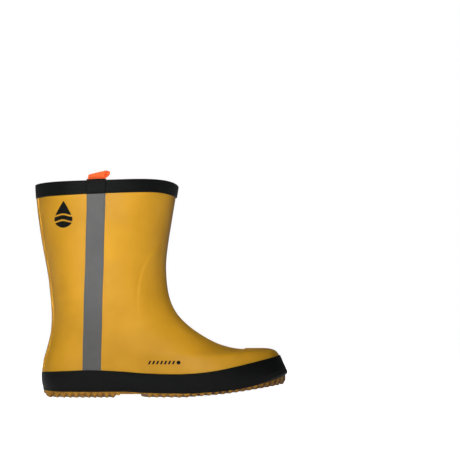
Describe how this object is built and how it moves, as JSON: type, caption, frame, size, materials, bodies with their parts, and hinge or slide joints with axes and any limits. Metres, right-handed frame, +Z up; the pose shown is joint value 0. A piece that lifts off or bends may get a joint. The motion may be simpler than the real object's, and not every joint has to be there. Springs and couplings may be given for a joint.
{
  "type": "rubber rain boot",
  "caption": "Low pull-on rubber rain boot for the right foot, with a treaded sole, foxing band, toe cap, bound top edge, pull loop and loose footbed.",
  "frame": {"origin": "on the ground under the middle of the boot's box", "axes": "+X towards the toe, -Y towards the boot's outer (lateral) side, +Z up the leg"},
  "size_m": [0.2524, 0.0918, 0.2216],
  "materials": {
    "yellow_rubber": "satin, slightly waxy",
    "black_rubber": "matt",
    "gum_rubber": "matt",
    "reflective_tape": "fine glass-bead sheen",
    "orange_webbing": "woven",
    "dark_knit": "fine knit",
    "fibre_board": "matt",
    "sponge": "open cell",
    "stiffener": "rubbered cloth",
    "foam": "closed cell"
  },
  "bodies": {
    "boot": {"upper_shell": "yellow_rubber", "lining": "dark_knit", "heel_counter": "stiffener", "toe_puff": "stiffener", "ankle_patch_outer": "stiffener", "ankle_patch_inner": "stiffener", "foxing_band": "black_rubber", "toe_cap": "yellow_rubber", "back_strip": "yellow_rubber", "reflective_stripe": "reflective_tape", "emblem": "black_rubber", "collar_binding": "black_rubber", "loop_saddle": "black_rubber", "outsole": "gum_rubber", "midsole_filler": "sponge", "heel_wedge": "sponge", "insole_board": "fibre_board", "lining_sole": "dark_knit"},
    "loop": {"pull_loop": "orange_webbing"},
    "footbed": {"footbed_foam": "foam", "footbed_cover": "dark_knit"}
  },
  "joints": [
    {"name": "pull_loop_fold", "type": "hinge", "parent": "boot", "child": "loop", "pos_m": [-0.06326, -0.04086, 0.21364], "axis": [1, 0, 0], "range_deg": [-40, 40], "stiffness_Nm_per_rad": 0.002},
    {"name": "footbed_lift", "type": "hinge", "parent": "boot", "child": "footbed", "pos_m": [0.1146, 0.0006, 0.0241], "axis": [0, 1, 0], "range_deg": [0, 6]}
  ]
}
